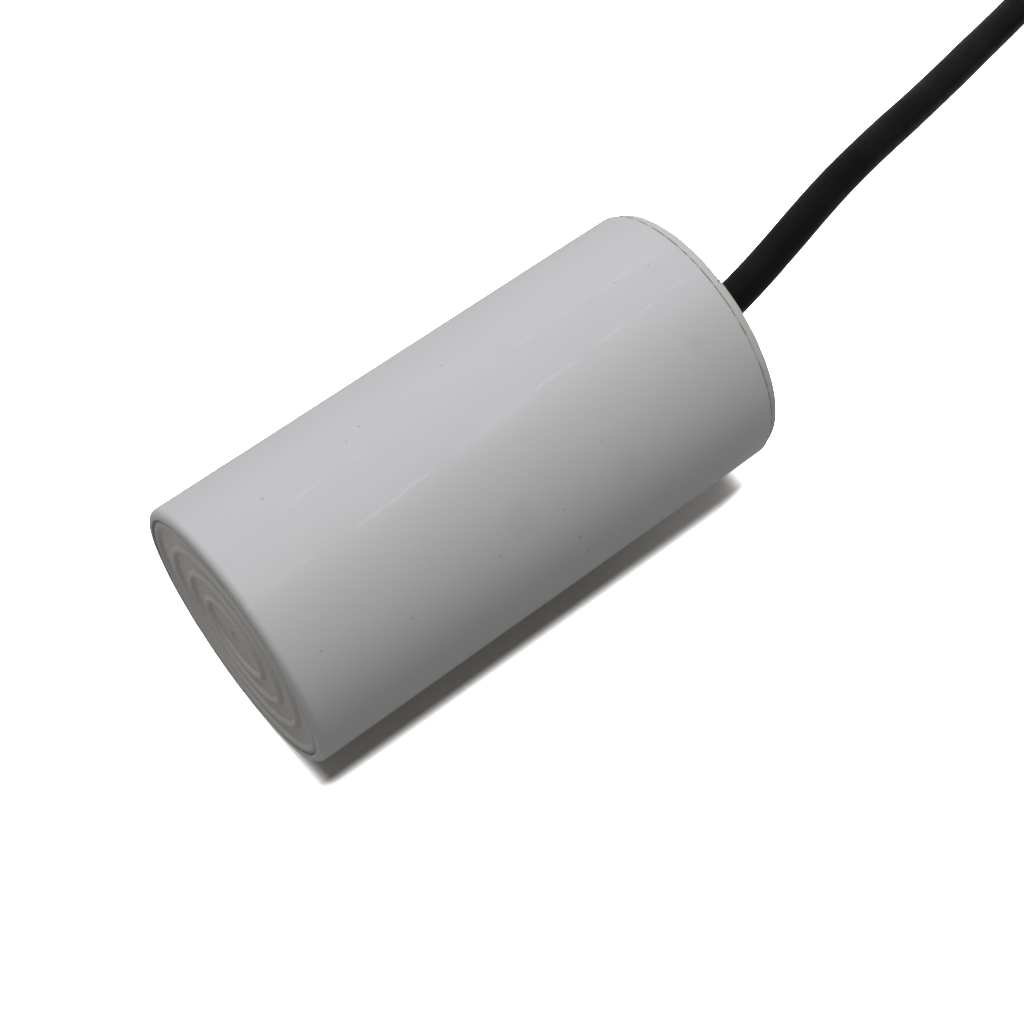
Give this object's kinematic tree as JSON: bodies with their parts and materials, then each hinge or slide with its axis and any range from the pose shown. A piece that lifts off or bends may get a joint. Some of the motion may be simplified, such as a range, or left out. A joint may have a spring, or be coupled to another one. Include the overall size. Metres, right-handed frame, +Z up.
{
  "type": "motor run capacitor",
  "caption": "Sealed white plastic can with raised rings on its closed end, an ivory lid and a black round two-core lead with ferrules, coiled and tied.",
  "frame": {"origin": "on the surface that the can lies on, under the middle of the can and lid, without the lead", "axes": "+X along the can's axis from its ringed closed end to its lid, +Z up"},
  "size_m": [0.2711, 0.0759, 0.045],
  "materials": {
    "can_white": "satin moulded",
    "lid_ivory": "satin moulded",
    "resin": "cast",
    "metal_film": "satin",
    "mandrel_plastic": "moulded",
    "clear_film": "glossy",
    "sprayed_metal": "rough sprayed",
    "solder": "smooth",
    "core_blue": "satin",
    "core_brown": "satin",
    "copper": "bright",
    "sheath_black": "satin",
    "tie_black": "satin",
    "cuff_grey": "satin",
    "sleeve_tin": "tinned"
  },
  "bodies": {
    "root": {"can": "can_white", "lid": "lid_ivory", "resin_fill": "resin", "film_winding": "metal_film", "winding_mandrel": "mandrel_plastic", "film_wrap": "clear_film", "end_spray_rear": "sprayed_metal", "end_spray_front": "sprayed_metal", "solder_rear": "solder", "solder_front": "solder", "inner_core_blue": "core_blue", "inner_core_brown": "core_brown", "inner_strand_blue": "copper", "inner_strand_brown": "copper", "lead_root": "sheath_black", "lead": "sheath_black", "lead_coil": "sheath_black", "coil_tie": "tie_black", "lead_core_blue": "core_blue", "lead_core_brown": "core_brown", "lead_strand_blue": "copper", "lead_strand_brown": "copper", "ferrule_cuff_blue": "cuff_grey", "ferrule_cuff_brown": "cuff_grey", "ferrule_sleeve_blue": "sleeve_tin", "ferrule_sleeve_brown": "sleeve_tin"}
  },
  "joints": []
}
